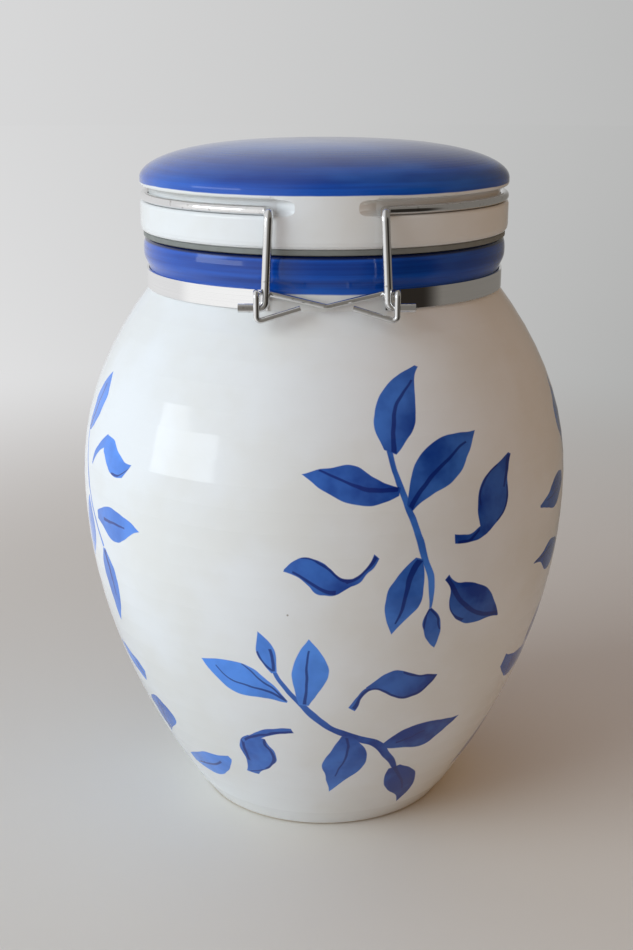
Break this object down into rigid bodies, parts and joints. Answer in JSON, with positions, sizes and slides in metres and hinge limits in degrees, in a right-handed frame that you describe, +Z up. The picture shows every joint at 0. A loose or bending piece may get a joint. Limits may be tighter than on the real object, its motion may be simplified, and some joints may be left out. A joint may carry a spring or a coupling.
{
  "type": "ceramic food canister",
  "caption": "Round-bellied glazed ceramic storage jar with a domed gasketed lid, held by a wire bail hinged at the back and a swing wire latch at the front.",
  "frame": {"origin": "centre of the jar's foot, on the surface that it stands on", "axes": "+Z up along the jar's axis, -Y towards the latch at the front, +Y towards the hinge at the back"},
  "size_m": [0.1916, 0.1916, 0.2632],
  "materials": {
    "jar_glaze": "gloss",
    "lid_glaze": "gloss",
    "gasket_silicone": "matte",
    "band_steel": "polished",
    "bracket_steel": "polished",
    "bail_steel": "polished",
    "latch_steel": "polished"
  },
  "bodies": {
    "jar": {"jar_body": "jar_glaze", "neck_band": "band_steel", "hinge_bracket": "bracket_steel"},
    "lid_and_bail": {"lid": "lid_glaze", "gasket": "gasket_silicone", "bail_wire": "bail_steel"},
    "latch": {"latch_wire": "latch_steel"}
  },
  "joints": [
    {"name": "lid_hinge", "type": "hinge", "parent": "jar", "child": "lid_and_bail", "pos_m": [0, 0.07248, 0.222], "axis": [-1, 0, 0], "range_deg": [0, 110]},
    {"name": "latch_hinge", "type": "hinge", "parent": "jar", "child": "latch", "pos_m": [0, -0.06718, 0.21507], "axis": [-1, 0, 0], "range_deg": [0, 75]}
  ]
}
